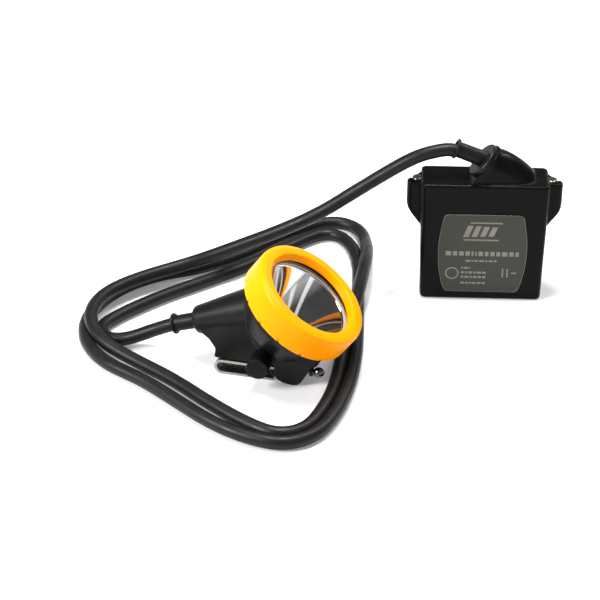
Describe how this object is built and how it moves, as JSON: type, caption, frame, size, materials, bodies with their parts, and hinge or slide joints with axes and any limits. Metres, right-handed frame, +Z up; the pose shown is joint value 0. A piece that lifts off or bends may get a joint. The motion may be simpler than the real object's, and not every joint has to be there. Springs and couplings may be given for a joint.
{
  "type": "miner's cap lamp",
  "caption": "Cap lamp: belt battery pack with a cable hood, round rubber cable, and a headpiece with a turning bezel ring, reflector, switch knob, charging stud and helmet hook.",
  "frame": {"origin": "centre of the battery pack's base, on the surface that the lamp lies on", "axes": "+X to the pack's right seen from its label, +Y out of the pack's back towards the wearer's belt, +Z up from the base to the cable hood"},
  "size_m": [0.2836, 0.2481, 0.1015],
  "materials": {
    "black_case": "fine moulded texture",
    "label_metal": "brushed, dark anodised",
    "black_rubber": "satin",
    "cable_sheath": "satin",
    "yellow_ring": "satin gloss",
    "clear_lens": "polished",
    "mirror_cup": "vacuum metallised",
    "steel_zinc": "zinc plated",
    "steel_strip": "stainless",
    "brass": "turned",
    "cell_wrap": "shrink wrapped cell, mean density of a cell",
    "nickel": "strip",
    "foam": "closed cell foam",
    "board_green": "solder mask",
    "board_white": "metal core, white mask",
    "emitter": "silicone dome on phosphor",
    "heat_metal": "turned",
    "lead_red": "insulated wire",
    "knob_black": "satin"
  },
  "bodies": {
    "lamp": {"pack_case": "black_case", "pack_lid": "black_case", "lid_gasket": "black_rubber", "lid_screws": "steel_zinc", "lug_inserts": "brass", "label_plate": "label_metal", "cells": "cell_wrap", "cell_strap": "nickel", "cell_holder": "foam", "protection_board": "board_green", "belt_loops": "black_case", "gland_ring": "black_case", "pack_leads": "lead_red", "pack_bush": "black_rubber", "cable": "cable_sheath", "lamp_bush": "black_rubber", "lamp_housing": "black_case", "lens": "clear_lens", "lens_gasket": "black_rubber", "reflector": "mirror_cup", "led_board": "board_white", "main_led": "emitter", "side_leds": "emitter", "heat_sink": "heat_metal", "driver_board": "board_green", "switch_block": "knob_black", "switch_o_ring": "black_rubber", "charge_boss": "foam", "charge_stud": "steel_zinc", "charge_nut": "brass", "helmet_hook": "steel_strip", "hook_screws": "steel_zinc"},
    "bezel": {"bezel_ring": "yellow_ring"},
    "knob": {"switch_knob": "knob_black", "switch_shaft": "steel_strip"}
  },
  "joints": [
    {"name": "bezel_turn", "type": "hinge", "parent": "lamp", "child": "bezel", "pos_m": [-0.09806, -0.0931, 0.052], "axis": [0.576, -0.1172, 0.809], "range_deg": [0, 30]},
    {"name": "knob_turn", "type": "hinge", "parent": "lamp", "child": "knob", "pos_m": [-0.12854, -0.11751, 0.0156], "axis": [-0.1994, -0.9799, 0], "range_deg": [0, 90]}
  ]
}
